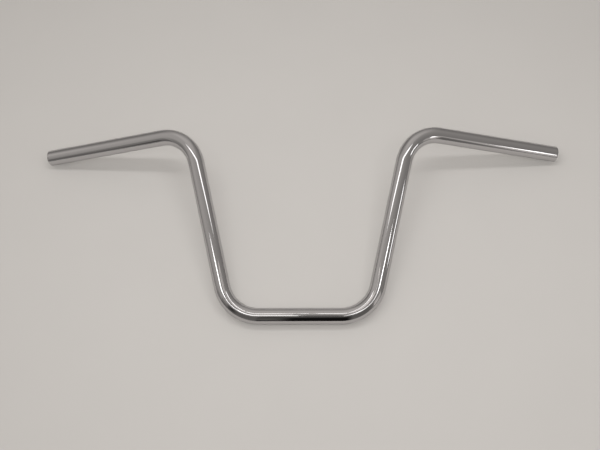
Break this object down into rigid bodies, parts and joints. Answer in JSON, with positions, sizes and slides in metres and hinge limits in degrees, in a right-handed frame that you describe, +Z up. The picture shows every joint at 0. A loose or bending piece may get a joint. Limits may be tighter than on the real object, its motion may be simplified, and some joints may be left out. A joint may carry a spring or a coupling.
{
  "type": "ape hanger handlebar",
  "caption": "Tall chrome motorcycle handlebar of one bent steel tube: a straight clamp section, splayed uprights and pulled-back grip ends.",
  "frame": {"origin": "on the tube's axis at the middle of the clamp section", "axes": "+X along the clamp section, +Y up the bar towards the grips, +Z up from the floor that it lies on, rider side down"},
  "size_m": [0.848, 0.3096, 0.0899],
  "materials": {
    "chrome_tube": "bright chrome plate on polished steel tube"
  },
  "bodies": {
    "root": {"handlebar_tube": "chrome_tube"}
  },
  "joints": []
}
